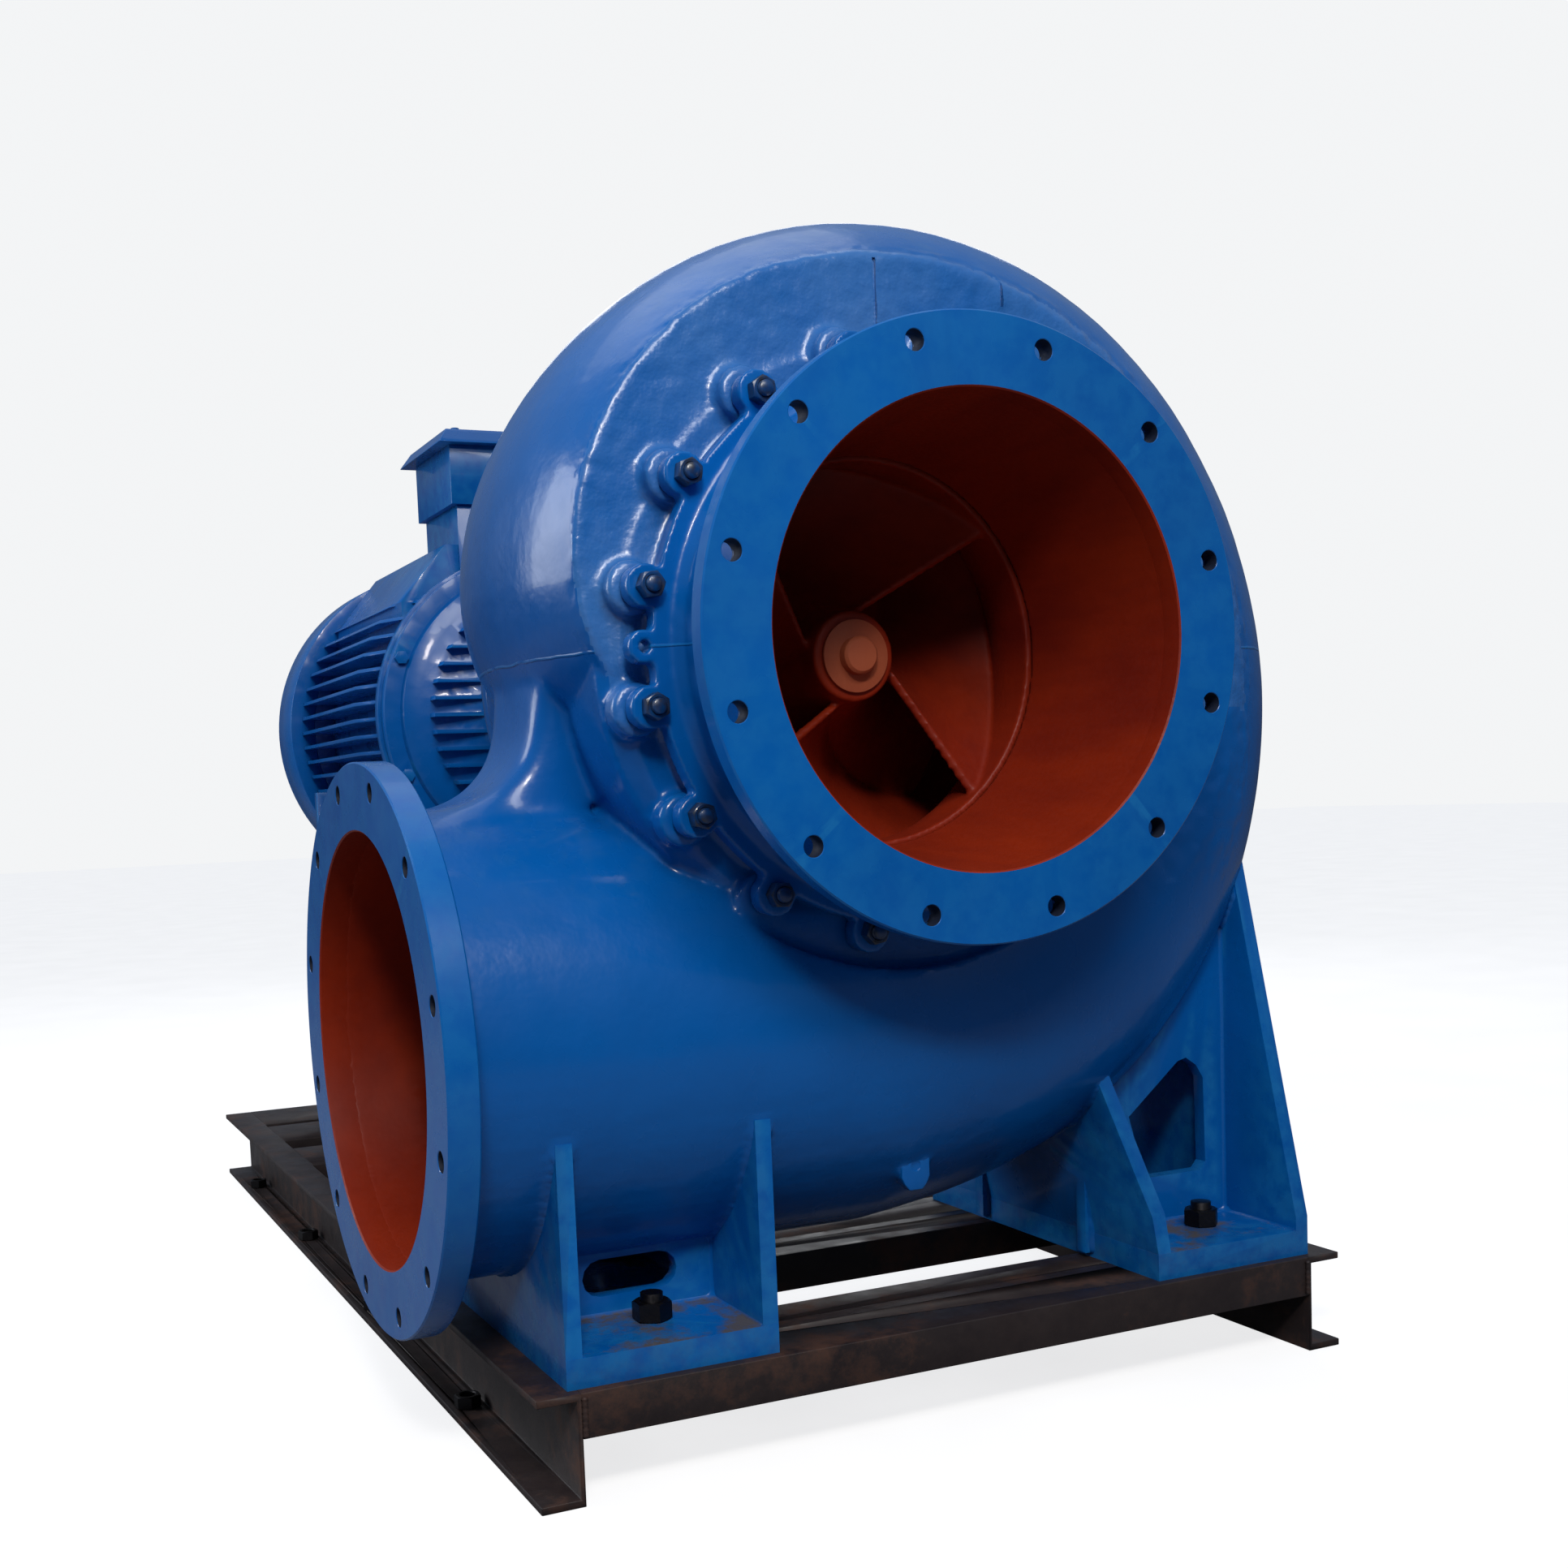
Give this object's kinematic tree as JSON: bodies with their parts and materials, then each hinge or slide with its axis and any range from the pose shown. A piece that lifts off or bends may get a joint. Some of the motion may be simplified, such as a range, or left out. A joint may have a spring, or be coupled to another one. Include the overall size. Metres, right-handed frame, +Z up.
{
  "type": "centrifugal water pump",
  "caption": "Horizontal end-suction volute pump with side discharge, driven by an electric motor through a pin coupling, both on a channel steel skid.",
  "frame": {"origin": "on the floor, at the middle of the skid's anchor-bolt pattern", "axes": "+Z up; the shaft runs along Y with the suction flange facing -Y and the motor at +Y; the discharge flange faces -X"},
  "size_m": [1.4344, 2.563, 1.6572],
  "materials": {
    "blue_enamel": "glossy blue enamel over cast iron",
    "red_primer": "matt red-oxide primer",
    "machined_steel": "turned and ground steel",
    "blued_fasteners": "dark oxide-coated hexagon nuts and bolts",
    "bronze": "machined bronze",
    "cast_grey": "grey cast iron, machined",
    "gasket_fibre": "compressed fibre sheet",
    "packing": "braided graphite packing",
    "rubber_bush": "moulded rubber",
    "core_steel": "laminated core steel",
    "copper": "varnished copper windings",
    "fan_plastic": "moulded fan",
    "skid_steel": "dark painted rolled steel with rust at the edges"
  },
  "bodies": {
    "base": {"volute_casing": "blue_enamel", "suction_cover": "blue_enamel", "cover_studs": "blue_enamel", "cover_nuts": "blue_enamel", "casing_gasket": "gasket_fibre", "wear_ring": "bronze", "back_cover": "blue_enamel", "packing_rings": "packing", "lantern_ring": "bronze", "gland_studs": "machined_steel", "bearing_housing": "blue_enamel", "back_studs": "blue_enamel", "back_nuts": "blue_enamel", "pump_bearing_outer_races": "machined_steel", "front_bearing_cover": "blue_enamel", "rear_bearing_cover": "blue_enamel", "bearing_cover_screws": "blued_fasteners", "motor_frame": "blue_enamel", "motor_front_shield": "blue_enamel", "motor_rear_shield": "blue_enamel", "shield_bolts": "blue_enamel", "stator_core": "core_steel", "stator_windings": "copper", "motor_bearing_outer_races": "machined_steel", "fan_cowl": "blue_enamel", "terminal_box": "blue_enamel", "terminal_lid": "blue_enamel", "lid_screws": "blue_enamel", "cable_gland": "bronze", "motor_pedestal": "skid_steel", "motor_bolts": "blued_fasteners", "rail_left": "skid_steel", "rail_right": "skid_steel", "pump_beams": "skid_steel", "motor_beams": "skid_steel", "anchor_nuts": "blued_fasteners", "foot_bolts": "blued_fasteners", "foot_nuts": "blued_fasteners"},
    "pump_spindle": {"impeller": "red_primer", "impeller_nut": "red_primer", "impeller_key": "machined_steel", "pump_shaft": "machined_steel", "shaft_sleeve": "machined_steel", "pump_bearing_inner_races": "machined_steel", "pump_bearing_rollers": "machined_steel", "pump_coupling_half": "cast_grey", "coupling_bushes": "rubber_bush", "pump_coupling_key": "machined_steel"},
    "motor_spindle": {"motor_coupling_half": "cast_grey", "coupling_pins": "machined_steel", "coupling_nuts": "blued_fasteners", "motor_coupling_key": "machined_steel", "motor_rotor": "core_steel", "motor_bearing_inner_races": "machined_steel", "motor_bearing_rollers": "machined_steel", "motor_shaft": "machined_steel", "motor_fan": "fan_plastic"},
    "gland_follower": {"gland": "cast_grey", "gland_nuts": "blued_fasteners"}
  },
  "joints": [
    {"name": "motor_turn", "type": "hinge", "parent": "base", "child": "motor_spindle", "pos_m": [-0.0635, 0.6415, 1.042], "axis": [0, 1, 0], "continuous": true},
    {"name": "pump_turn", "type": "hinge", "parent": "base", "child": "pump_spindle", "pos_m": [-0.0635, -0.6085, 1.042], "axis": [0, 1, 0], "continuous": true},
    {"name": "gland_slide", "type": "slide", "parent": "base", "child": "gland_follower", "axis": [0, 1, 0], "range_m": [0, 0.012]}
  ],
  "couplings": [
    {"joint": "pump_turn", "follows": "motor_turn", "ratio": 1}
  ]
}
